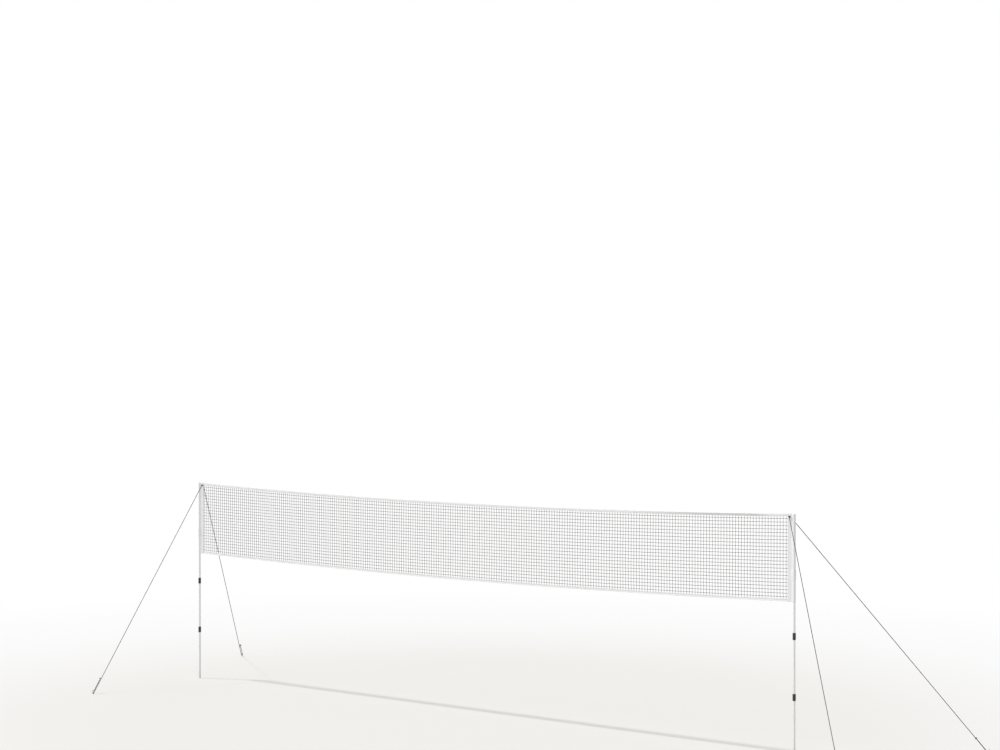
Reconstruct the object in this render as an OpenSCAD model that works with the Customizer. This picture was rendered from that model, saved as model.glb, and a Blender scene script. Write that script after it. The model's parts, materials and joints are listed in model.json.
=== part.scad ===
// Volleyball net on two sectional poles, held upright by four guy ropes and ground pegs.
// Millimetres, +Z up, +X along the net. The origin is on the ground, midway between the poles.

/* [Poles] */
// Distance between the axes of the two poles
pole_spacing = 8470; // [7500:10:9500]
// Height of a pole from the ground to the top of its cap
pole_height = 2430; // [2200:10:2600]
// Outer diameter of the pole tubes
pole_d = 25; // [22:0.5:30]
// Wall of the pole tubes
pole_wall = 1.5; // [1:0.1:2.5]

/* [Couplers] */
// Outer diameter of the sleeves that join two tubes
coupler_d = 33; // [33:0.5:40]
// Length of a sleeve
coupler_len = 70; // [50:1:100]
// Thickness of the stop rib between the two tube ends
coupler_rib = 3; // [2:0.5:6]
// Edge chamfer of the sleeves
coupler_chamfer = 2; // [0.5:0.5:3]

/* [Caps] */
// Thickness of the head of the caps at a pole's two ends
cap_head = 4; // [2:0.5:8]
// Length of a cap's plug in the tube
cap_plug = 22; // [10:1:40]
// Edge chamfer of a cap's head
cap_chamfer = 1.5; // [0.5:0.5:2]

/* [Net] */
// Height of the net at the poles
net_height = 876; // [700:1:1000]
// How far the top edge hangs through at the middle
top_sag = 75; // [20:1:150]
// How far the bottom edge hangs through at the middle
bottom_sag = 62; // [20:1:150]
// Thickness of the knotted mesh
net_t = 2.4; // [1:0.1:4]
// Width of the cords of the mesh
net_cord = 3; // [2:0.5:6]
// Number of gaps along the net
gap_columns = 48; // [24:1:49]
// Number of gaps from the top tape to the bottom tape
gap_rows = 6; // [3:1:6]

/* [Tapes and pockets] */
// Width of the tapes along the top and bottom edges
tape_w = 25; // [20:1:60]
// Thickness of the cloth of the tapes and the pockets
cloth_t = 0.9; // [0.5:0.1:2]
// Diameter of the lines that run inside the tapes
line_d = 4; // [3:0.5:6]
// How far the mesh reaches into the tapes and the pockets
net_lap = 10; // [5:1:10]
// Distance from a pole's axis to the inner seam of its pocket
seam_in = 75; // [75:1:120]
// Thickness of the cloth over the top of a pole
pocket_top = 4; // [2:0.5:8]

/* [Eyelets] */
// Distance from a pocket's inner seam outward to its eyelet
eyelet_out = 21; // [21:1:36]
// Drop from the net's top edge to the eyelet
eyelet_drop = 27; // [18:1:40]
// Hole of an eyelet
eyelet_hole = 10; // [8:0.5:12]
// Outer diameter of an eyelet's flanges
eyelet_flange = 20; // [18:0.5:24]
// Thickness of the metal of an eyelet
eyelet_metal = 0.8; // [0.5:0.1:1.5]

/* [Guys] */
// Diameter of the guy ropes
guy_d = 7; // [4:0.5:8]
// Length of the doubled rope between a peg and its runner
guy_loop = 180; // [150:5:400]
// Height of the rope's bend on a peg
guy_foot = 18; // [16:1:24]
// Left front peg: distance outward from the pole, along the net
left_front_out = 90; // [-300:10:1500]
// Left front peg: distance in front of the net
left_front_away = 1640; // [1000:10:2500]
// Left back peg: distance outward from the pole, along the net
left_back_out = 960; // [-300:10:1500]
// Left back peg: distance behind the net
left_back_away = 1690; // [1000:10:2500]
// Right front peg: distance outward from the pole, along the net
right_front_out = 1250; // [-300:10:1500]
// Right front peg: distance in front of the net
right_front_away = 1290; // [1000:10:2500]
// Right back peg: distance outward from the pole, along the net
right_back_out = 1410; // [-300:10:1500]
// Right back peg: distance behind the net
right_back_away = 1410; // [1000:10:2500]

/* [Runners and pegs] */
// Width of a runner, the bar with two holes that tightens a guy
runner_w = 14; // [12:0.5:20]
// Thickness of a runner
runner_t = 5; // [3:0.5:8]
// Diameter of a peg's rod
peg_d = 8; // [6:0.5:10]
// Depth of a peg's point below the ground
peg_depth = 280; // [150:5:400]
// Length of a peg's point
peg_point = 24; // [12:1:40]
// Height of the straight rod above the ground
peg_rise = 34; // [32:1:60]
// Radius of the bend of a peg's hook, at the middle of the rod
hook_r = 12; // [11:0.5:20]
// Length of the straight end of a hook
hook_tip = 12; // [5:1:16]

/* [Clearances] */
// Radial gap between a tube and the parts that it plugs into
push_gap = 0.1; // [0:0.05:0.3]
// Gap between the pockets and the poles
cloth_gap = 0.4; // [0.2:0.1:2]
// Gap between a line and its channel in a tape
line_gap = 0.1; // [0.05:0.05:0.5]
// Radial gap of a rope in a runner's hole and round a peg
rope_gap = 0.4; // [0.3:0.1:2]

/* [Hidden] */
$fn = 48;
SIDES = ["left", "right"];
FACES = ["front", "back"];
sections = 4;                          // tubes in a pole
sag_steps = 16;                        // straight stretches along a sagging edge
rope_sides = 10;
line_sides = 8;

pole_x = pole_spacing / 2;
pitch = pole_height / sections;        // from one coupler to the next
bore_d = pole_d - 2 * pole_wall;       // inside of a tube
seam_x = pole_x - seam_in;             // inner seams of the pockets
net_top = pole_height + pocket_top;    // top edge at the poles
pocket_ease = 3;                       // the pocket is wide this far past the coupler's ends
pocket_slope = 25;                     // length of the pocket's slope down to the tube
channel = line_d + 2 * line_gap;       // room for a line in its tape
bead_h = channel + 2 * cloth_t;        // height of a tape's wrapped part
tape_t = bead_h;                       // and its thickness
hem_t = net_t + 2 * cloth_t;           // a tape or pocket where it holds the mesh
eyelet_x = seam_x + eyelet_out;
eyelet_z = net_top - eyelet_drop;
barrel_d = eyelet_hole + 2 * eyelet_metal;
leg_gap = peg_d / 2 + guy_d / 2 + rope_gap;   // from a peg's axis to each leg of its rope
hole_d = guy_d + 2 * rope_gap;
bend_in = 4;                           // chamfer of the rope's turn at an eyelet
corner_y = hem_t / 2 + eyelet_metal + guy_d;  // where a guy turns down to its peg
bend_steps = 8;
guy_tail = 8;                          // end of a guy above its runner

function side_sign(s) = s == "left" ? -1 : 1;
function face_sign(f) = f == "front" ? -1 : 1;

// Drop of a hanging edge at x, from nothing at the poles to sag at the middle
function drop(x, sag) = sag * (1 - pow(x / pole_x, 2));
function top_z(x) = net_top - drop(x, top_sag);
function bottom_z(x) = net_top - net_height - drop(x, bottom_sag);
top_edge = function(x) top_z(x);
bottom_edge = function(x) bottom_z(x);

// A rope: rings of points square to its route, joined by triangles
function unit(v) = v / norm(v);
function heading(p, i) =
    i == 0 ? unit(p[1] - p[0])
    : i == len(p) - 1 ? unit(p[i] - p[i - 1])
    : unit(unit(p[i] - p[i - 1]) + unit(p[i + 1] - p[i]));
function ring(p, i, d, sides, up) =
    let (t = heading(p, i), u = unit(cross(t, up)), v = cross(t, u))
    [for (k = [0:sides - 1]) p[i] + d / 2 * (cos(360 * k / sides) * u + sin(360 * k / sides) * v)];

module rope(p, d, sides, up) {
    n = len(p);
    walls = [for (i = [0:n - 2]) for (k = [0:sides - 1])
        let (a = i * sides + k, b = i * sides + (k + 1) % sides) each [
            [a, a + sides, b],
            [b, a + sides, b + sides]
        ]];
    ends = [for (k = [1:sides - 2]) each [
        [0, k, k + 1],
        [(n - 1) * sides, (n - 1) * sides + k + 1, (n - 1) * sides + k]
    ]];
    polyhedron([for (i = [0:n - 1]) each ring(p, i, d, sides, up)], concat(walls, ends));
}

// ---- poles ----

module at_pole(s) translate([side_sign(s) * pole_x, 0, 0]) children();

// One tube; the couplers' ribs keep its ends apart from the next ones
module pole_tube(s, i) {
    low = i == 1 ? cap_head : (i - 1) * pitch + coupler_rib / 2;
    high = i == sections ? pole_height - cap_head : i * pitch - coupler_rib / 2;
    color("gainsboro") at_pole(s) translate([0, 0, low]) difference() {
        cylinder(d = pole_d, h = high - low);
        translate([0, 0, -1]) cylinder(d = bore_d, h = high - low + 2);
    }
}

// Plastic sleeve over two tube ends, with a stop rib halfway
module coupler(s, i) {
    half = coupler_len / 2;
    outer = coupler_d / 2;
    seat = pole_d / 2 + push_gap;
    rib = coupler_rib / 2;
    color("dimgray") at_pole(s) translate([0, 0, i * pitch]) rotate_extrude() polygon([
        [seat, -half], [outer - coupler_chamfer, -half], [outer, -half + coupler_chamfer],
        [outer, half - coupler_chamfer], [outer - coupler_chamfer, half], [seat, half],
        [seat, rib], [bore_d / 2, rib], [bore_d / 2, -rib], [seat, -rib]
    ]);
}

// Plug in the open end of a pole, with a head as wide as the tube; turned over at the top
module cap(s, z, over) {
    head = pole_d / 2;
    plug = bore_d / 2 - push_gap;
    color("gainsboro") at_pole(s) translate([0, 0, z]) mirror([0, 0, over ? 1 : 0])
        rotate_extrude() polygon([
            [0, 0], [head - cap_chamfer, 0], [head, cap_chamfer], [head, cap_head],
            [plug, cap_head], [plug, cap_head + cap_plug], [0, cap_head + cap_plug]
        ]);
}

// ---- net ----

// Upright plate between two hanging edges, each given as its height at x
module curtain(reach, thick, upper, lower) {
    xs = [for (i = [0:sag_steps]) reach * (2 * i / sag_steps - 1)];
    rotate([90, 0, 0]) linear_extrude(thick, center = true) polygon(concat(
        [for (x = xs) [x, upper(x)]],
        [for (i = [sag_steps:-1:0]) [xs[i], lower(xs[i])]]
    ));
}

// The mesh without its gaps, as far as it reaches into the tapes and the pockets
module mesh_sheet() curtain(
    seam_x + net_lap, net_t,
    function(x) top_z(x) - tape_w + net_lap,
    function(x) bottom_z(x) + tape_w - net_lap
);

// One gap, counted from the left and from the bottom
module gap(column, row) {
    w = (2 * seam_x - (gap_columns - 1) * net_cord) / gap_columns;
    left = -seam_x + column * (w + net_cord);
    low = function(x) bottom_z(x) + tape_w;
    h = function(x) (top_z(x) - tape_w - low(x) - (gap_rows - 1) * net_cord) / gap_rows;
    edge = function(x) low(x) + row * (h(x) + net_cord);
    right = left + w;
    rotate([90, 0, 0]) linear_extrude(2 * net_t, center = true) polygon([
        [left, edge(left)], [right, edge(right)],
        [right, edge(right) + h(right)], [left, edge(left) + h(left)]
    ]);
}

// Knotted mesh, sewn into the tapes and the pockets all round
module net_mesh() color("dimgray") difference() {
    mesh_sheet();
    for (column = [0:gap_columns - 1]) for (row = [0:gap_rows - 1]) gap(column, row);
}

// Folded band along an edge: it wraps its line and grips the mesh. way points into the net.
module tape(edge, way) color("lightgray") difference() {
    union() {
        band(edge, way, tape_t, 0, bead_h);
        band(edge, way, hem_t, 0, tape_w);
    }
    band(edge, way, channel, cloth_t, cloth_t + channel);
    mesh_sheet();
}

module band(edge, way, thick, from, to) curtain(
    seam_x, thick,
    function(x) edge(x) + max(way * from, way * to),
    function(x) edge(x) + min(way * from, way * to)
);

// Line in the channel of a tape
module line(edge, way) {
    xs = [for (i = [0:sag_steps]) seam_x * (2 * i / sag_steps - 1)];
    color("white") rope([for (x = xs) [x, 0, edge(x) + way * bead_h / 2]], line_d, line_sides, [0, 1, 0]);
}

// Built on the right and mirrored for the left
module on_side(s) mirror([s == "left" ? 1 : 0, 0, 0]) children();

// Half of the outline of the pocket's round part, wider where it passes the highest coupler
function pocket_outline(extra, low, high) =
    let (r = pole_d / 2 + cloth_gap + extra, wide = coupler_d / 2 + cloth_gap + extra,
         middle = (sections - 1) * pitch, half = coupler_len / 2 + pocket_ease)
    [[0, low], [r, low], [r, middle - half - pocket_slope], [wide, middle - half],
     [wide, middle + half], [r, middle + half + pocket_slope], [r, high], [0, high]];

// Sleeve of cloth that hangs on the pole's top, with a flat part that is sewn to the mesh
module pole_pocket(s) color("lightgray") on_side(s) difference() {
    union() {
        translate([pole_x, 0, 0]) rotate_extrude()
            polygon(pocket_outline(cloth_t, net_top - net_height, net_top));
        rotate([90, 0, 0]) linear_extrude(hem_t, center = true) polygon([
            [seam_x, bottom_z(seam_x)], [pole_x, net_top - net_height],
            [pole_x, net_top], [seam_x, top_z(seam_x)]
        ]);
    }
    translate([pole_x, 0, 0]) rotate_extrude()
        polygon(pocket_outline(0, net_top - net_height - 1, pole_height));
    translate([eyelet_x, 0, eyelet_z]) rotate([90, 0, 0])
        cylinder(d = barrel_d, h = 2 * hem_t, center = true);
    mesh_sheet();
}

// Metal ring through the flat part of a pocket, near its upper corner
module eyelet(s) {
    hole = eyelet_hole / 2;
    flange = eyelet_flange / 2;
    barrel = barrel_d / 2;
    cloth = hem_t / 2;
    face = cloth + eyelet_metal;
    color("silver") on_side(s) translate([eyelet_x, 0, eyelet_z]) rotate([90, 0, 0])
        rotate_extrude() polygon([
            [hole, -face], [flange, -face], [flange, -cloth], [barrel, -cloth],
            [barrel, cloth], [flange, cloth], [flange, face], [hole, face]
        ]);
}

// ---- guys ----

function peg_at(s, f) =
    let (place = s == "left"
        ? (f == "front" ? [left_front_out, left_front_away] : [left_back_out, left_back_away])
        : (f == "front" ? [right_front_out, right_front_away] : [right_back_out, right_back_away]))
    [side_sign(s) * (pole_x + place[0]), face_sign(f) * place[1], 0];

function guy_start(s) = [side_sign(s) * eyelet_x, 0, eyelet_z];
function guy_turn(s, f) = guy_start(s) + [0, face_sign(f) * corner_y, 0];
function guy_aim(s, f) = peg_at(s, f) + [0, 0, guy_foot] - guy_turn(s, f);
// Level and square to the guy, from a peg's axis to the leg that comes from the net
function guy_across(s, f) = let (v = guy_aim(s, f)) unit([-v.y, v.x, 0]);
function guy_down(s, f) = unit(guy_aim(s, f) + leg_gap * guy_across(s, f));
// The middle of the bend lies far enough past the peg's axis for a steep rope to clear the rod
function guy_bend(s, f) =
    let (down = guy_down(s, f), shift = leg_gap * (1 / norm([down.x, down.y]) - 1))
    peg_at(s, f) + [0, 0, guy_foot] + shift * down;
function runner_at(s, f) = guy_bend(s, f) - guy_loop * guy_down(s, f);

// From the eyelet straight down to the peg, round it, and back up through the runner
function guy_route(s, f) =
    let (down = guy_down(s, f), across = leg_gap * guy_across(s, f), b = guy_bend(s, f))
    concat(
        [guy_start(s), guy_turn(s, f) - [0, face_sign(f) * bend_in, 0]],
        [guy_turn(s, f) + bend_in * down],
        [for (i = [0:bend_steps])
            let (a = 180 * i / bend_steps) b + cos(a) * across + leg_gap * sin(a) * down],
        [runner_at(s, f) - across - (runner_t / 2 + guy_tail) * down]
    );

module guy(s, f) color("dimgray")
    rope(guy_route(s, f), guy_d, rope_sides, cross(guy_down(s, f), guy_across(s, f)));

// Bar with two holes that slides along both legs of the rope
module runner(s, f) {
    d = guy_down(s, f);
    color("whitesmoke") translate(runner_at(s, f)) rotate([0, acos(d.z), atan2(d.y, d.x)])
        linear_extrude(runner_t, center = true) difference() {
            union() {
                square([runner_w, 2 * leg_gap], center = true);
                for (y = [-leg_gap, leg_gap]) translate([0, y]) circle(d = runner_w);
            }
            for (y = [-leg_gap, leg_gap]) translate([0, y]) circle(d = hole_d);
        }
}

// Pointed rod in the ground, with a hook that faces away from the net
module peg(s, f) {
    v = guy_aim(s, f);
    point_r = 1;
    color("silver") translate(peg_at(s, f)) rotate([0, 0, atan2(v.y, v.x)]) {
        translate([0, 0, -peg_depth]) cylinder(r1 = point_r, r2 = peg_d / 2, h = peg_point);
        translate([0, 0, peg_point - peg_depth])
            cylinder(d = peg_d, h = peg_depth - peg_point + peg_rise);
        translate([hook_r, 0, peg_rise]) rotate([90, 0, 0]) rotate_extrude(angle = 180)
            translate([hook_r, 0]) circle(d = peg_d);
        translate([2 * hook_r, 0, peg_rise - hook_tip]) cylinder(d = peg_d, h = hook_tip);
    }
}

for (s = SIDES) {
    for (i = [1:sections])
        pole_tube(s, i);
    for (i = [1:sections - 1])
        coupler(s, i);
    cap(s, 0, false);
    cap(s, pole_height, true);
    pole_pocket(s);
    eyelet(s);
    for (f = FACES) {
        guy(s, f);
        runner(s, f);
        peg(s, f);
    }
}
net_mesh();
tape(top_edge, -1);  // top_tape
tape(bottom_edge, 1);  // bottom_tape
line(top_edge, -1);  // top_line
line(bottom_edge, 1);  // bottom_line
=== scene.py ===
# Volleyball net on two sectional poles, held upright by four guy ropes and ground pegs.
# Metres, +Z up, +X along the net. The origin is on the ground, midway between the poles.

import json
import math

import bmesh
import bpy
from mathutils import Matrix, Vector, noise
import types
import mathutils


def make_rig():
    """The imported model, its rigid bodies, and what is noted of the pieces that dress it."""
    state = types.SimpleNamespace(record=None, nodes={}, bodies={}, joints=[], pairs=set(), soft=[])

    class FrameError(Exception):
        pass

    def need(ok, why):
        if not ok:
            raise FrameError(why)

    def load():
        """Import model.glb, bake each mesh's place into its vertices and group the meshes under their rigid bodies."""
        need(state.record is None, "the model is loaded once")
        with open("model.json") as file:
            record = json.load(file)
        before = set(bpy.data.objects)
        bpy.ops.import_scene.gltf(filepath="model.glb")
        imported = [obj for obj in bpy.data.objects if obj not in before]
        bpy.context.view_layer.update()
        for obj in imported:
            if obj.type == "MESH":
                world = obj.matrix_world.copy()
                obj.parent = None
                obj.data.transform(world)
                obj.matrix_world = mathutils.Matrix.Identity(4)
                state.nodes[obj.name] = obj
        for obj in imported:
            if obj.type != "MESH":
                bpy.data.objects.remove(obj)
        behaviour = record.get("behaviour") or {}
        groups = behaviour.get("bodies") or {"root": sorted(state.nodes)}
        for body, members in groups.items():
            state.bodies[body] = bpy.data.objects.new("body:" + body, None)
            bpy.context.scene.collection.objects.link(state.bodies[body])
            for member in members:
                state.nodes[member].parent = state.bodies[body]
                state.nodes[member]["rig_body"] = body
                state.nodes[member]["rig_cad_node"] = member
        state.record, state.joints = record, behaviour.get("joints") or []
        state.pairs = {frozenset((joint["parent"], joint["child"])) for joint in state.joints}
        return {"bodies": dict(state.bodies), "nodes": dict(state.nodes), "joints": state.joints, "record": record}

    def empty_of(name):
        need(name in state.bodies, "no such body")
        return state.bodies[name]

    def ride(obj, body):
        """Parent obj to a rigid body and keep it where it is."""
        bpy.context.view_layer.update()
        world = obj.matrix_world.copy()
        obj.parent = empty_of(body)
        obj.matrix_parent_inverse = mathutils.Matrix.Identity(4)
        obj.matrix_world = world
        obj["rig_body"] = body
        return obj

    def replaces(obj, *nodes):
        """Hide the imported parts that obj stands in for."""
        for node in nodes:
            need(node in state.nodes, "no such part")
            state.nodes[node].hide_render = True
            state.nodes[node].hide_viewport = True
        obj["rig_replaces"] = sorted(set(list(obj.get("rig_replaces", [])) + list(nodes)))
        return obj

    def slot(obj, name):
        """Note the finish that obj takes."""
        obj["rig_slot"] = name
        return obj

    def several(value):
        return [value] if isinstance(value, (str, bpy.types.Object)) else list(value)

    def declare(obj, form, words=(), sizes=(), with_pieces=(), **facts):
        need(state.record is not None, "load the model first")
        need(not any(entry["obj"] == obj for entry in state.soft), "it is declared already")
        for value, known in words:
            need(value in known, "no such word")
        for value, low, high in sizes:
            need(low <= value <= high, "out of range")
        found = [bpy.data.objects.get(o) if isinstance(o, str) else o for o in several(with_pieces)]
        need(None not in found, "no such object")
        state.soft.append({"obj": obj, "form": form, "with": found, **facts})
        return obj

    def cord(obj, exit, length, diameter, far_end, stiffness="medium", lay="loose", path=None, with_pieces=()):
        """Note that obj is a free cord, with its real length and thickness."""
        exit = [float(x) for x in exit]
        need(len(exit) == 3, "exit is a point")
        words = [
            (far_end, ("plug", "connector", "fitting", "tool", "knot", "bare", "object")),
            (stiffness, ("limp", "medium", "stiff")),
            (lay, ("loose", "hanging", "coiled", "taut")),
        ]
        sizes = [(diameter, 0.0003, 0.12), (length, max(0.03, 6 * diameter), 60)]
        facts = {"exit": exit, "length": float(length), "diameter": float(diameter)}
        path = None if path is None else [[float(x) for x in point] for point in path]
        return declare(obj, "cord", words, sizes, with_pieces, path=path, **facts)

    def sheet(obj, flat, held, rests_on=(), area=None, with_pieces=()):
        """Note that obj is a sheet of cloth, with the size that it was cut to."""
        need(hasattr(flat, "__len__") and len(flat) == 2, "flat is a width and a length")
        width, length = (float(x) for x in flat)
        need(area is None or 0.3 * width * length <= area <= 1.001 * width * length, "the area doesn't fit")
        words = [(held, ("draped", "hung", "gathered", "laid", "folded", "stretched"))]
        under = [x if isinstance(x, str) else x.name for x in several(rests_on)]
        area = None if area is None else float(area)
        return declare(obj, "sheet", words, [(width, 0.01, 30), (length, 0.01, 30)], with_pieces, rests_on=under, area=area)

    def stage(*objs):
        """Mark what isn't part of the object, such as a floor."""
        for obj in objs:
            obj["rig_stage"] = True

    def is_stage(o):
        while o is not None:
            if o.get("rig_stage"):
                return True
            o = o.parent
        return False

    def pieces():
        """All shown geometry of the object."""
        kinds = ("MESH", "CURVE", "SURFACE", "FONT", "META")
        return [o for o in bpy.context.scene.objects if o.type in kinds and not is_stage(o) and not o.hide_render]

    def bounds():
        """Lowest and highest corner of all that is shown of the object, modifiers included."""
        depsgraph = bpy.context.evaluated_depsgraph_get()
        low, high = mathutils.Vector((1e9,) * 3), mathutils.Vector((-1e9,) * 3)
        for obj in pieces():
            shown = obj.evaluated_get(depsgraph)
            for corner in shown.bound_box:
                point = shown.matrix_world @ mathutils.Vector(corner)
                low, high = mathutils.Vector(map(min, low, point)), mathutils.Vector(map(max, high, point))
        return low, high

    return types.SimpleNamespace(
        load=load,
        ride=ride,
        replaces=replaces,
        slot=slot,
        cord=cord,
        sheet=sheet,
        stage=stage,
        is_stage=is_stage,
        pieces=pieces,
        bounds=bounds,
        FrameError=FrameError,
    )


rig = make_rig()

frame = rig.load()
cad_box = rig.bounds()

# ---- Camera ----
# A long lens far out in front of the net and to its right, a little above the tops of the poles.

yaw, pitch = math.radians(38.091), math.radians(0.442)
lens = bpy.data.cameras.new("camera")
lens.lens, lens.sensor_width, lens.clip_end = 75.07, 36, 500
camera = bpy.data.objects.new("camera", lens)
camera.location = 14.715, -18.114, 3.975
camera.rotation_euler = math.pi / 2 - pitch, 0, yaw
bpy.context.collection.objects.link(camera)
bpy.context.scene.camera = camera


# ---- Guy ropes ----
# Four dark braided polyester ropes. Each is tied into an eyelet at a top corner of the net, runs
# straight down to its peg, turns round it, and ends in a stopper knot above its runner.

sides = "left", "right"
pole_x = 4.235
eyelet_at = 4.181, 0, 2.407
guy_width = 0.007
corner_out = 0.0099                    # from the net to where a guy turns down
leg_gap = 0.0079                       # from a peg's axis to each leg of its rope
turn_height = 0.018                    # of the rope's turn round its peg
loop_length = 0.18                     # from that turn to the runner
tail_length = 0.0105                   # from the runner to the rope's end
tied_at = 5                            # the point of its route where a guy is tied off
pegs = {
    ("left", "front"): (-4.325, -1.640),
    ("left", "back"): (-5.195, 1.690),
    ("right", "front"): (5.485, -1.290),
    ("right", "back"): (5.645, 1.410),
}


class Value:
    """An output of a shader node. Sums, products and comparisons of values add Math nodes."""

    def __init__(self, nodes, socket):
        self.nodes, self.socket = nodes, socket

    def output(self, name):
        return Value(self.nodes, self.socket.node.outputs[name])

    def math(self, operation, *others):
        inputs = dict(enumerate((self, *others)))
        return self.nodes.node("ShaderNodeMath", {"operation": operation}, inputs)

    def __add__(self, other):
        return self.math("ADD", other)

    def __sub__(self, other):
        return self.math("SUBTRACT", other)

    def __rsub__(self, other):
        return self * -1 + other

    def __mul__(self, other):
        return self.math("MULTIPLY", other)

    def __truediv__(self, other):
        return self.math("DIVIDE", other)

    def __lt__(self, other):
        return self.math("LESS_THAN", other)

    def __gt__(self, other):
        return self.math("GREATER_THAN", other)

    def __abs__(self):
        return self.math("ABSOLUTE")

    def wave(self):
        return (self * math.tau).math("SINE")

    def clip(self):
        return self.math("MAXIMUM", 0).math("MINIMUM", 1)

    __radd__ = __add__
    __rmul__ = __mul__


class Nodes:
    """A tree of shader nodes. Every node but the Math ones is added here."""

    def __init__(self, tree):
        self.tree = tree

    def node(self, kind, settings, inputs, output=0):
        made = self.tree.nodes.new(kind)
        for setting, value in settings.items():
            setattr(made, setting, value)
        for socket, value in inputs.items():
            if isinstance(value, Value):
                self.tree.links.new(value.socket, made.inputs[socket])
            else:
                made.inputs[socket].default_value = value
        return Value(self, made.outputs[output])

    def place(self, stretch=(1, 1, 1)):
        where = self.node("ShaderNodeTexCoord", {}, {}, "Object")
        return self.node("ShaderNodeVectorMath", {"operation": "MULTIPLY"}, {0: where, 1: stretch})

    def axes(self, where):
        x = self.node("ShaderNodeSeparateXYZ", {}, {"Vector": where})
        return x, x.output("Y"), x.output("Z")

    def noise(self, size, detail=2, stretch=(1, 1, 1)):
        inputs = {"Vector": self.place(stretch), "Scale": 1 / size, "Detail": detail}
        return self.node("ShaderNodeTexNoise", {}, inputs)

    def mix(self, share, without, with_it):
        """A colour between two others, each of them a value or three numbers."""
        pair = [c if isinstance(c, Value) else (*c, 1) for c in (without, with_it)]
        inputs = {0: share, 6: pair[0], 7: pair[1]}
        return self.node("ShaderNodeMix", {"data_type": "RGBA"}, inputs, 2)


class Finish(Nodes):
    """A material. fixed holds what is the same all over, and paint() joins what varies."""

    def __init__(self, name, fixed):
        self.material = bpy.data.materials.new(name)
        self.material.use_nodes = True
        super().__init__(self.material.node_tree)
        self.shader = self.tree.nodes["Principled BSDF"]
        for socket, value in fixed.items():
            self.shader.inputs[socket].default_value = value

    def paint(self, colour, roughness, relief, depth):
        inputs = {"Strength": 1.0, "Distance": depth, "Height": relief}
        normal = self.node("ShaderNodeBump", {}, inputs)
        for socket, value in (("Base Color", colour), ("Roughness", roughness), ("Normal", normal)):
            self.tree.links.new(value.socket, self.shader.inputs[socket])
        return self


def cloth(across, along, place, flat):
    """A grid of faces with its corners where place(u, v) puts them. Its UV map is flat(u, v)."""
    bm = bmesh.new()
    bmesh.ops.create_grid(bm, x_segments=across, y_segments=along, size=0.5)
    layer = bm.loops.layers.uv.new("flat")
    for face in bm.faces:
        for loop in face.loops:
            loop[layer].uv = flat(loop.vert.co.x + 0.5, loop.vert.co.y + 0.5)
    for vert in bm.verts:
        vert.co = place(vert.co.x + 0.5, vert.co.y + 0.5)
    return bm


def rope(route, width, up, facets=10):
    """A grid rolled into a round tube. Its UV map runs once round it, and along it in metres."""
    steps = len(route) - 1
    lengths, rings = [0.0], []
    for i, centre in enumerate(route):
        back, on = centre - route[max(i - 1, 0)], route[min(i + 1, steps)] - centre
        ahead = (back.normalized() + on.normalized()).normalized()
        side = ahead.cross(up).normalized() * width / 2
        rings.append((centre, side, ahead.cross(side)))
        lengths.append(lengths[-1] + on.length)

    def place(u, v):
        centre, side, other = rings[round(v * steps)]
        return centre + math.cos(math.tau * u) * side + math.sin(math.tau * u) * other

    bm = cloth(facets, steps, place, lambda u, v: (u, lengths[round(v * steps)]))
    bmesh.ops.remove_doubles(bm, verts=bm.verts, dist=1e-6)
    bmesh.ops.holes_fill(bm, edges=[edge for edge in bm.edges if edge.is_boundary], sides=0)
    bmesh.ops.recalc_face_normals(bm, faces=bm.faces)
    return bm


def piece(name, bm, finish, slot, replaces=()):
    """Turns a finished bmesh into a piece that rides on the body of the net and its poles."""
    mesh = bpy.data.meshes.new(name)
    bm.to_mesh(mesh)
    bm.free()
    mesh.shade_smooth()
    mesh.materials.append(finish.material)
    made = bpy.data.objects.new(name, mesh)
    bpy.context.collection.objects.link(made)
    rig.ride(made, "net_and_poles")
    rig.slot(made, slot)
    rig.replaces(made, *replaces)
    return made


def braid(name, colour, fleck, lay):
    """Braided rope: two sets of strands that cross, one of them with a lighter fleck."""
    finish = Finish(name, {"Specular IOR Level": 0.3, "Sheen Weight": 0.15})
    round_it, along, _ = finish.axes(finish.node("ShaderNodeUVMap", {"uv_map": "flat"}, {}))
    strands = (round_it * 5 + along / lay).wave() * (round_it * 5 - along / lay).wave()
    worn = finish.noise(0.05, 4)
    fibre = finish.noise(0.0006, 2)
    tone = finish.mix((strands * 0.5 + worn * 0.5 + fibre * 0.3 - 0.15).clip(), colour, fleck)
    relief = strands * 0.5 + fibre * 0.2
    return finish.paint(tone, roughness=0.7 + fibre * 0.25, relief=relief, depth=0.0009)


guy_finish = braid("guy_rope", (0.030, 0.030, 0.032), fleck=(0.13, 0.13, 0.135), lay=0.009)


def shares(count):
    """Even steps from 0 to 1."""
    return [i / count for i in range(count + 1)]


def guy_route(side, face):
    """The rope's middle line, its direction towards the peg, and the way across its two legs."""
    way = -1 if face == "front" else 1
    start = Vector(eyelet_at)
    start.x *= -1 if side == "left" else 1
    turn = start + Vector((0, way * corner_out, 0))
    foot = Vector((*pegs[side, face], turn_height))
    aim = foot - turn
    across = Vector((-aim.y, aim.x, 0)).normalized() * leg_gap
    down = (aim + across).normalized()
    bend = foot + leg_gap * (1 / down.xy.length - 1) * down
    runner = bend - loop_length * down
    low = bend + across
    end = runner - across - tail_length * down
    corner = [
        turn + (1 - t) ** 2 * (start - turn) + t ** 2 * corner_out * down for t in shares(8)
    ]
    return [
        *corner,
        *(corner[-1].lerp(low, t) for t in shares(14)[1:-1]),
        *(bend + math.cos(math.pi * t) * across + leg_gap * math.sin(math.pi * t) * down
          for t in shares(12)),
        *((bend - across).lerp(end, t) for t in shares(4)[1:]),
    ], down, across


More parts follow.
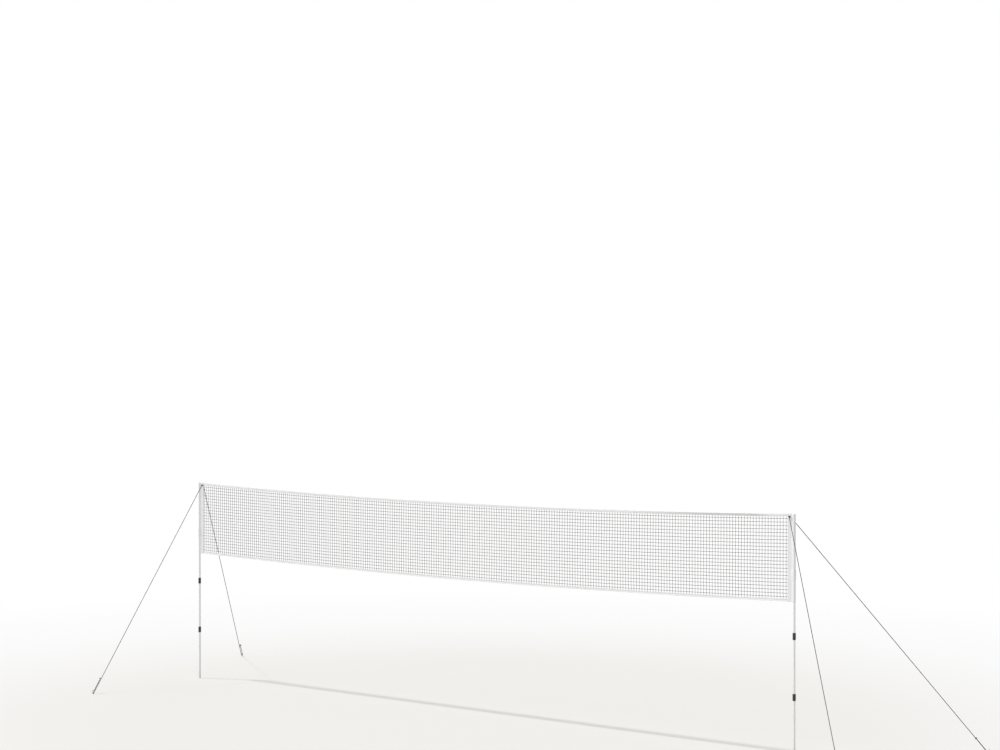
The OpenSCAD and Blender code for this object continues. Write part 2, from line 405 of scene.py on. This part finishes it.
def stopper(centre, down, across):
    """A rope end drawn up into a tight overhand knot: a three-lobed loop round the middle line."""
    turn = Matrix((across.normalized(), down.cross(across).normalized(), down)).transposed()
    lobe, rise, drawn_thin = 0.43 * guy_width, 0.58 * guy_width, 0.92 * guy_width
    loop = []
    for a in (math.tau * t for t in shares(60)):
        loop.append(centre + turn @ Vector((
            lobe * (math.sin(a) + 2 * math.sin(2 * a)),
            lobe * (math.cos(a) - 2 * math.cos(2 * a)),
            -rise * math.sin(3 * a),
        )))
    return rope(loop, drawn_thin, down, 8)


for side, face in pegs:
    name = f"{side}_{face}"
    route, down, across = guy_route(side, face)
    up = down.cross(across)
    guy = piece(
        f"{name}_guy_rope", rope(route, guy_width, up), guy_finish, "guy_rope", [f"{name}_guy"]
    )
    ends = [
        piece(f"{name}_{end}_knot", stopper(at, down, across), guy_finish, "guy_rope")
        for end, at in (("eyelet", route[tied_at]), ("tail", route[-1]))
    ]
    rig.cord(
        guy,
        exit=route[0],
        length=sum((b - a).length for a, b in zip(route, route[1:])),
        diameter=guy_width,
        far_end="knot",
        stiffness="limp",
        lay="taut",
        path=route,
        with_pieces=[*ends, f"{name}_runner", f"{name}_peg"],
    )


# ---- Runners ----
# A flat bar of off-white moulded plastic with a hole at each end. The rope's two legs pass
# through it, and it grips them when it is cocked.


def dress(nodes, finish):
    """Gives CAD nodes their finish."""
    for node in nodes:
        for slot in bpy.data.objects[node].material_slots:
            slot.material = finish.material


runner = Finish("runner_plastic", {"Specular IOR Level": 0.45})
grain, scuff = runner.noise(0.0005), runner.noise(0.004, 4)
runner.paint(
    runner.mix((scuff * 2 - 0.9).clip(), (0.74, 0.73, 0.70), (0.52, 0.50, 0.46)),
    roughness=0.42 + scuff * 0.3, relief=grain * 0.5 + scuff * 0.3, depth=0.0001,
)
dress([f"{side}_{face}_runner" for side, face in pegs], runner)


# ---- Pegs ----
# Round steel rod, zinc plated, with a ground point and a bent hook. It is driven upright into
# the ground, which leaves soil on the plating low down.

peg = Finish("peg_steel", {"Metallic": 1.0})
_, _, height = peg.axes(peg.place())
streaks = peg.noise(0.002, 3, (1, 1, 0.15))
spangle = peg.node("ShaderNodeTexVoronoi", {}, {"Vector": peg.place(), "Scale": 160}, "Distance")
soil = ((0.03 - height) * 25 + peg.noise(0.006, 4) - 0.5).clip()
zinc = peg.mix(spangle, (0.60, 0.61, 0.62), (0.72, 0.73, 0.74))
peg.paint(
    peg.mix(soil * 0.8, zinc, (0.22, 0.18, 0.13)),
    roughness=0.36 + spangle * 0.15 + soil * 0.5, relief=streaks + soil, depth=0.0001,
)
dress([f"{side}_{face}_peg" for side, face in pegs], peg)


# ---- Pole tubes ----
# Eight lengths of thin steel tube with a white powder coat. They plug into each other through
# plastic sleeves, which scuff the coat at their ends, and the lowest ones are splashed with soil.

tube_length = 0.6075
coat = Finish("pole_powder_coat", {"Coat Weight": 0.1, "Coat Roughness": 0.3})
_, _, height = coat.axes(coat.place())
along_tube = (height / tube_length).math("FRACT")
near_sleeve = (abs(along_tube - 0.5) - 0.41).clip() * 12
peel = coat.noise(0.0016, 1)
cloud = coat.noise(0.22, 3)
scratches = (coat.noise(0.003, 5, (1, 1, 0.06)) - 0.62).clip() * 4
soil = ((0.16 - height) * 5).clip() * coat.noise(0.012, 5)
white = coat.mix(cloud * 0.6, (0.86, 0.865, 0.87), (0.80, 0.805, 0.805))
scuffed = coat.mix((scratches * (0.25 + near_sleeve)).clip(), white, (0.50, 0.50, 0.50))
coat.paint(
    coat.mix(soil * 0.7, scuffed, (0.46, 0.40, 0.31)),
    roughness=0.34 + cloud * 0.12 + soil * 0.4,
    relief=peel * 0.6 - scratches * 0.4, depth=0.0001,
)
dress([f"{side}_pole_tube_{i}" for side in sides for i in (1, 2, 3, 4)], coat)


# ---- Couplers ----
# Black moulded sleeves with an eroded surface, a fine line where the mould parted, and grip
# grooves round both halves. The tubes are pushed in from both ends up to a rib inside.

groove_pitch = 0.005
grooved = 0.006, 0.028                 # where the grooves start and end, from a sleeve's middle
parting_half = 0.0005                  # half the width of the line where the mould parted
sleeve = Finish("coupler_plastic", {"Specular IOR Level": 0.5})
_, depth, height = sleeve.axes(sleeve.place())
off_middle = ((height / tube_length + 0.5).math("FRACT") - 0.5) * tube_length
on_grip = (abs(off_middle) > grooved[0]) * (abs(off_middle) < grooved[1])
grooves = (off_middle / groove_pitch).wave() * on_grip
parting = abs(depth) < parting_half
eroded, rubbed = sleeve.noise(0.0005), sleeve.noise(0.006, 4)
worn_grey = (rubbed * 0.8 + grooves * 0.15 - 0.3).clip()
sleeve.paint(
    sleeve.mix(worn_grey, (0.014, 0.014, 0.015), (0.07, 0.07, 0.07)),
    roughness=0.5 - rubbed * 0.15,
    relief=grooves + parting * 0.6 + eroded * 0.3, depth=0.0004,
)
dress([f"{side}_coupler_{i}" for side in sides for i in (1, 2, 3)], sleeve)


# ---- Caps ----
# White moulded plugs, pushed into both open ends of a pole. The lower ones stand on the ground,
# and dust sticks to them.

cap = Finish("cap_plastic", {"Specular IOR Level": 0.4})
_, _, height = cap.axes(cap.place())
dust = ((0.012 - height) * 60).clip() * cap.noise(0.003, 4)
grain = cap.noise(0.0006)
cap.paint(
    cap.mix(dust, (0.80, 0.80, 0.79), (0.45, 0.39, 0.30)),
    roughness=0.5 + dust * 0.4, relief=grain + dust, depth=0.0001,
)
dress([f"{side}_{end}_cap" for side in sides for end in ("foot", "top")], cap)


# ---- Mesh ----
# Black nylon cord, faded a little, tied into squares of about 35 mm with a knot at every
# crossing. The outer cords lie in the tapes and the pockets, which are sewn over them.

seam_out = 0.075                       # from a pole's axis to its pocket's inner seam
seam_x = pole_x - seam_out
net_top, net_height = 2.434, 0.876
top_sag, bottom_sag = 0.075, 0.062
cord_width = 0.0035
columns, rows = 241, 24
outer_cords = 0.017, 0.012             # how far they lie in the pockets, and in the tapes
uneven, billow, slack = 0.0018, 0.008, 0.0003
turn_half = 0.0045, 0.0023, 0.0024     # half of the size of one turn of cord in a knot
turns_apart = 0.0007                   # how far each turn lies off the middle of its knot
panels = 4


def top_edge(x):
    return net_top - top_sag * (1 - (x / pole_x) ** 2)


def bottom_edge(x):
    return net_top - net_height - bottom_sag * (1 - (x / pole_x) ** 2)


def crossing(column, row):
    """Where two cords cross. The mesh is slightly uneven, but not where it meets cloth."""
    x = (2 * column / columns - 1) * (seam_x + outer_cords[0])
    low, high = bottom_edge(x) + outer_cords[1], top_edge(x) - outer_cords[1]
    z = low + (high - low) * row / rows
    # It eases in over the outer quarters of the height and the last twentieths of the length.
    free = max(0, min(1, 4 * min(row / rows, 1 - row / rows), 20 * (1 - abs(x) / seam_x)))
    # Not noise_vector, which draws other values each time that Blender starts.
    pulled = Vector([noise.noise(Vector((x * 9, y, z * 9))) for y in (3, 23, 43)]) * uneven * free
    blown = noise.noise(Vector((x * 0.9, 11, z * 1.4))) * billow * free
    return Vector((x, blown, z)) + pulled


def gathered(parts):
    """Joins finished bmeshes into one."""
    whole = bmesh.new()
    for part in parts:
        mesh = bpy.data.meshes.new("part")
        part.to_mesh(mesh)
        part.free()
        whole.from_mesh(mesh)
        bpy.data.meshes.remove(mesh)
    return whole


def net_cord(ends):
    """A cord along a row or a column of crossings, drawn a little slack between them."""
    route = [ends[0]]
    for a, b in zip(ends, ends[1:]):
        route += [a.lerp(b, 0.5) + Vector((0, 0, -slack)), b]
    return rope(route, cord_width, Vector((0, 1, 0)), 6)


def knots(column):
    """The knots down one column: at each, two turns of cord that cross at a slant."""
    bm = bmesh.new()
    for row in range(1, rows):
        for lean in (-1, 1):
            at = Matrix.Translation(crossing(column, row) + Vector((0, lean * turns_apart, 0)))
            slant = Matrix.Rotation(lean * math.pi / 4, 4, "Y")
            shape = at @ slant @ Matrix.Diagonal((*turn_half, 1))
            bmesh.ops.create_icosphere(bm, subdivisions=1, radius=1, matrix=shape)
    return bm


mesh_cord = Finish("mesh_cord", {"Specular IOR Level": 0.3, "Sheen Weight": 0.1})
round_it, along, _ = mesh_cord.axes(mesh_cord.node("ShaderNodeUVMap", {"uv_map": "flat"}, {}))
twist = (round_it * 3 + along / 0.006).wave()
fibre = mesh_cord.noise(0.0006)
lit = (twist * 0.3 + fibre * 0.6).clip()
mesh_cord.paint(
    mesh_cord.mix(lit, (0.021, 0.010, 0.014), (0.064, 0.035, 0.046)),
    roughness=0.65 + fibre * 0.3, relief=twist * 0.5 + fibre * 0.3, depth=0.0003,
)
for panel in range(panels):
    first, last = (round(columns * end / panels) for end in (panel, panel + 1))
    parts = [
        net_cord([crossing(column, row) for column in range(first, last + 1)])
        for row in range(1, rows)
    ]
    for column in range(max(first, 1), last):
        parts.append(net_cord([crossing(column, row) for row in range(rows + 1)]))
        parts.append(knots(column))
    piece(f"net_mesh_{panel + 1}", gathered(parts), mesh_cord, "mesh_cord", ["net_mesh"])


# ---- Lines ----
# White braided line through the channel of each tape. It takes the pull of the poles, so that
# the net hangs from it.

line_finish = braid("line_rope", (0.62, 0.62, 0.61), fleck=(0.80, 0.80, 0.79), lay=0.006)
line_width = 0.004
line_out = 0.003                       # from a tape's edge to the middle of its line
line_end = seam_x - 0.03
for name, edge, way in (("top_line", top_edge, -1), ("bottom_line", bottom_edge, 1)):
    route = [
        Vector((x, 0, edge(x) + way * line_out))
        for x in (line_end * (2 * t - 1) for t in shares(40))
    ]
    line = rope(route, line_width, Vector((0, 1, 0)), 8)
    piece(f"{name}_rope", line, line_finish, "line_rope", [name])


# ---- Tapes ----
# Pale woven polyester tape, folded over the line and the outer cord of the mesh, and sewn
# through with two rows of white stitches. Its ends are pressed flat and sewn into the pockets.

cloth_thick = 0.0009
hem_half = 0.00165                     # from the net's middle plane to the middle of the cloth
tape_width = 0.025
tape_end = seam_x + 0.008
tape_seams = 0.0075, 0.0190            # from the free edges
bead = line_out - cloth_thick / 2      # from the line's middle to the middle of the cloth
bead_turn = math.radians(100)          # how far round the line each half of the cloth lies
tape_flat = 2 * (bead * bead_turn + tape_width - line_out), 2 * tape_end


def woven(name, colour, shade, width, rows_at, weave, overlock_and_shade=0):
    """Plain woven cloth. It has rows of stitches at distances rows_at from its two long edges, and
    grey overlock thread over its raw edges, with painted shade of the doubled hem in the same band, as far in as the
    overlock width."""
    thread_half, hole_half, pucker_out = 0.0006, 0.0004, 0.0028
    stitch_pitch, loop_pitch = 0.0042, 0.0024
    shaded_span = 2.2, 3.95                 # where painted shade darkens the top tape, along the net
    finish = Finish(
        name, {"Specular IOR Level": 0.25, "Sheen Weight": 0.25, "Sheen Roughness": 0.4},
    )
    across, along, _ = finish.axes(finish.node("ShaderNodeUVMap", {"uv_map": "flat"}, {}))
    threads = (across / weave).wave() * (along / weave).wave()
    inward = across.math("MINIMUM", width - across)
    off_rows = [abs(inward - at) for at in rows_at]
    pucker_and_shade = sum((1 - off / pucker_out).clip() for off in off_rows)
    beat = (along / stitch_pitch).math("FRACT")
    stitch = sum(off < thread_half for off in off_rows) * (beat < 0.68)
    hole_shade = sum(off < hole_half for off in off_rows) * (abs(beat - 0.84) < 0.06)
    edge = inward < overlock_and_shade
    loops = edge * (((along + inward * 0.9) / loop_pitch).wave() * 0.5 + 0.5)
    cloud, fibre = finish.noise(0.35, 3), finish.noise(0.002, 3)
    x, _, z = finish.axes(finish.place())
    painted_shade_stretch = (x - shaded_span[0]).clip() * ((shaded_span[1] - x) * 6).clip() * (z > 2) * (inward < 0.016)
    tone = finish.mix((cloud * 0.7 + threads * 0.2 + fibre * 0.2).clip(), colour, shade)
    # Painted shade on the lower part of the top tape, over a stretch near its right end.
    tone = finish.mix(painted_shade_stretch * (cloud * 0.3 + 0.4), tone, (0.35, 0.35, 0.35))
    # Painted shade in the puckered cloth beside each row of stitches.
    tone = finish.mix(pucker_and_shade * 0.6, tone, [0.8 * c for c in shade])
    # Grey overlock loops over the raw edges, and painted shade of the doubled hem over the same band.
    tone = finish.mix(edge * 0.3 + loops * 0.35, tone, (0.60, 0.60, 0.61))
    # Painted shade in the needle holes between stitches.
    tone = finish.mix(hole_shade * 0.7, tone, (0.2, 0.2, 0.2))
    tone = finish.mix(stitch, tone, (0.90, 0.90, 0.89))
    relief = threads * 0.22 + fibre * 0.12 - pucker_and_shade * 0.9 - hole_shade * 0.6 + stitch * 0.9 + loops * 0.5
    return finish.paint(tone, roughness=0.72 + fibre * 0.2, relief=relief, depth=0.0005)


def eased(share):
    """From 0 to 1, with a soft start and end."""
    share = max(0, min(1, share))
    return share * share * (3 - 2 * share)


def sew(name, bm, finish, slot, replaces, flat, rests_on):
    """A piece of folded cloth. bm is the middle of its wall."""
    made = piece(name, bm, finish, slot, [replaces])
    wall = made.modifiers.new("cloth", "SOLIDIFY")
    wall.thickness, wall.offset = cloth_thick, 0
    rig.sheet(made, flat=flat, held="folded", rests_on=[rests_on])


def tape(name, edge, way):
    """Half of the cloth on each side of the net, from its free edge over the line and back."""
    arc = 5 / 12                       # the share of half the width that goes round the line
    pressed, opens_over = 0.006, 0.02  # its ends are flat, and open over the next stretch
    pressed_to = 0.35                  # how thick they are there, as a share

    def place(u, v):
        t, face = abs(2 * u - 1), math.copysign(1, 2 * u - 1)
        x = tape_end * (2 * v - 1)
        if t < arc:
            a = bead_turn * t / arc
            out, inward = bead * math.sin(a), line_out - bead * math.cos(a)
        else:
            q = (t - arc) / (1 - arc)
            shut = eased(4 * q)
            out = bead * math.sin(bead_turn) * (1 - shut) + hem_half * shut
            past_bead = line_out - bead * math.cos(bead_turn)
            inward = past_bead + (tape_width - past_bead) * q
        free = eased((tape_end - abs(x) - pressed) / opens_over)
        out *= pressed_to + (1 - pressed_to) * free
        inward += 0.004 * (1 - free) * (1 - inward / tape_width)
        ripple = noise.noise(Vector((x * 40, face * 7, inward * 60))) * 0.0003 * free
        lift = noise.noise(Vector((x * 2.3, 5, 0))) * 0.0012 * free
        return Vector((x, face * out + ripple, edge(x) + way * inward + lift))

    bm = cloth(24, 560, place, lambda u, v: (u * tape_flat[0], v * tape_flat[1]))
    line = name.replace("tape", "line")
    sew(f"{name}_cloth", bm, tape_finish, "tape_cloth", name, tape_flat, line)


tape_finish = woven(
    "tape_cloth", (0.93, 0.935, 0.94), (0.85, 0.855, 0.865),
    width=tape_flat[0], rows_at=tape_seams, weave=0.0011, overlock_and_shade=0.005,
)
tape("top_tape", top_edge, -1)
tape("bottom_tape", bottom_edge, 1)


# ---- Pole pockets ----
# A panel of the same cloth at each end of the net, folded round the pole and sewn to itself and
# to the mesh. It is closed over the pole's top and bulges where it passes the highest sleeve.

pocket_flat = 0.198, 0.879
pocket_seams = 0.003, 0.0075, 0.036    # from the panel's two long edges
fold_seam = 0.040                      # from the pole's axis to the seam that closes the fold
over_top = 0.003                       # how far the closed top stands over the net's
closes_from = 2.4245                   # the height at which the fold starts to close
cloth_radius = 0.01335                 # round a tube, to the middle of the cloth
sleeve_bulge = 0.004                   # how much wider the cloth is round the highest sleeve
sleeve_reach, bulge_ease = 0.038, 0.025  # half its length, and how far the bulge runs out
pocket_finish = woven(
    "pocket_cloth", (0.87, 0.875, 0.88), (0.79, 0.795, 0.805),
    width=pocket_flat[0], rows_at=pocket_seams, weave=0.0013,
)


def pocket(side):
    """Rows of the panel from the net's lower edge to its upper one, each a fold round the pole."""
    sign = -1 if side == "left" else 1
    arc, shut_at = 0.34, 0.60          # shares of half a row that go round the pole and close up
    turn = math.radians(125)

    def bulge(z):
        off = abs(z - 3 * tube_length) - sleeve_reach
        return cloth_radius + sleeve_bulge * eased(1 - off / bulge_ease)

    def up(v):
        return 1 - (1 - v) ** 1.6      # rows lie closer together towards the closed top

    def place(u, v):
        t, face = abs(2 * u - 1), math.copysign(1, 2 * u - 1)
        v = up(v)
        z_pole = net_top - net_height + (net_height + over_top) * v
        radius = bulge(z_pole)
        closing = max(0, (z_pole - closes_from) / (net_top + over_top - closes_from))
        shut = math.sqrt(max(0, 1 - closing ** 2))
        out, beside = -radius * math.cos(turn), radius * math.sin(turn)
        if t < arc:
            a = turn * t / arc
            inward, y = -radius * math.cos(a), radius * math.sin(a)
        elif t < shut_at:
            q = (t - arc) / (shut_at - arc)
            # A smooth curve from the cloth's slope beside the pole to the seam.
            span = fold_seam - out
            slope = math.cos(turn) / math.sin(turn) * span
            inward = out + span * q
            y = (beside * (2 * q ** 3 - 3 * q * q + 1) + slope * (q ** 3 - 2 * q * q + q)
                 + hem_half * (3 * q * q - 2 * q ** 3))
        else:
            q = (t - shut_at) / (1 - shut_at)
            inward, y = fold_seam + (seam_out - fold_seam) * q, hem_half
        if t < arc:
            inward *= 0.35 + 0.65 * shut
        x = pole_x - inward
        level = (1 - v) * bottom_edge(x) + v * (top_edge(x) + over_top)
        loose = min(v * 12, (1 - v) * 12, 1) * min(1, shut * 2) * (1 - t)
        fold = Vector((inward * 30, face * 3 + sign * 8, level * 9))
        pull = Vector((inward * 70 + level * 45, face * 5 - sign * 4, level * 20))
        crease = noise.noise(fold) * 0.0014 + noise.noise(pull) * 0.0007
        y = y * shut + crease * loose + 0.0001 * shut
        return Vector((sign * x, face * y, level))

    bm = cloth(44, 200, place, lambda u, v: (u * pocket_flat[0], up(v) * pocket_flat[1]))
    bmesh.ops.remove_doubles(bm, verts=[v for v in bm.verts if abs(v.co.y) < 1e-6], dist=1e-5)
    name, cap_node = f"{side}_pocket_cloth", f"{side}_top_cap"
    sew(name, bm, pocket_finish, "pocket_cloth", f"{side}_pole_pocket", pocket_flat, cap_node)


for side in sides:
    pocket(side)


# ---- Eyelets ----
# Plated steel rings, pressed through the pockets' flat parts near the top corners of the net.
# The tool leaves fine marks round them.

eyelet = Finish("eyelet_metal", {"Metallic": 1.0})
marks = eyelet.noise(0.0007, 3)
eyelet.paint(
    eyelet.mix(marks, (0.62, 0.62, 0.60), (0.74, 0.74, 0.72)),
    roughness=0.25 + marks * 0.2, relief=marks, depth=0.00002,
)
dress([f"{side}_eyelet" for side in sides], eyelet)


# ---- Floor and light ----
# A pale floor that runs out into white, a small key light high on the left, a wide soft light on
# the left of the camera, and an even white room.

floor_bm = bmesh.new()
bmesh.ops.create_circle(floor_bm, cap_ends=True, segments=96, radius=90)
floor_mesh = bpy.data.meshes.new("floor")
floor_bm.to_mesh(floor_mesh)
floor_bm.free()
floor = bpy.data.objects.new("floor", floor_mesh)
bpy.context.collection.objects.link(floor)
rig.stage(floor)

pales_from = 4                         # metres from the middle, and fully pale at twice as far
glows_from, glow_eases = 4.8, 8        # where it starts to glow more, and over how many metres
ground = Finish("floor", {"Roughness": 0.9, "Specular IOR Level": 0.1})
far = ground.node("ShaderNodeVectorMath", {"operation": "LENGTH"}, {0: ground.place()}, "Value")
tint = ground.mix((far / pales_from - 1).clip(), (0.84, 0.82, 0.78), (0.90, 0.90, 0.90))
ground.tree.links.new(tint.socket, ground.shader.inputs["Base Color"])


def seen(nodes):
    """1 for what the camera sees, also in a reflection or through glass, and 0 for light."""
    ray = nodes.node("ShaderNodeLightPath", {}, {}, "Is Camera Ray")
    return ray + ray.output("Is Glossy Ray") + ray.output("Is Transmission Ray")


glow = ground.node("ShaderNodeEmission", {}, {"Strength": 1.0})
blend = ground.node("ShaderNodeMixShader", {}, {
    0: (((far - glows_from) / glow_eases).clip() * 0.75 + 0.25) * seen(ground),
    1: Value(ground, ground.shader.outputs[0]),
    2: glow,
})
ground.tree.links.new(blend.socket, ground.tree.nodes["Material Output"].inputs["Surface"])
floor_mesh.materials.append(ground.material)

room = bpy.data.worlds.new("room")
bpy.context.scene.world = room
room.use_nodes = True
sky = Nodes(room.node_tree)
light = sky.node("ShaderNodeBackground", {}, {"Color": (1, 1, 1, 1), "Strength": 0.46})
white = sky.node("ShaderNodeBackground", {}, {"Color": (1, 1, 1, 1), "Strength": 1.0})
both = sky.node("ShaderNodeMixShader", {}, {0: seen(sky), 1: light, 2: white})
sky.tree.links.new(both.socket, sky.tree.nodes["World Output"].inputs["Surface"])

for name, towards, strength, spread in (
    ("key", (-0.32, -0.147, 0.937), 1.3, 2.5),
    ("softbox", (-0.68, -0.59, 0.43), 1.15, 45),
):
    lamp = bpy.data.lights.new(name, "SUN")
    lamp.energy, lamp.angle = strength, math.radians(spread)
    stand = bpy.data.objects.new(name, lamp)
    stand.rotation_euler = Vector(towards).to_track_quat("Z", "Y").to_euler()
    bpy.context.collection.objects.link(stand)

bpy.context.scene.view_settings.view_transform = "Standard"

boxes = {"cad": cad_box, "visual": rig.bounds()}
with open("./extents.json", "w") as out:
    json.dump({name: [list(corner) for corner in box] for name, box in boxes.items()}, out)
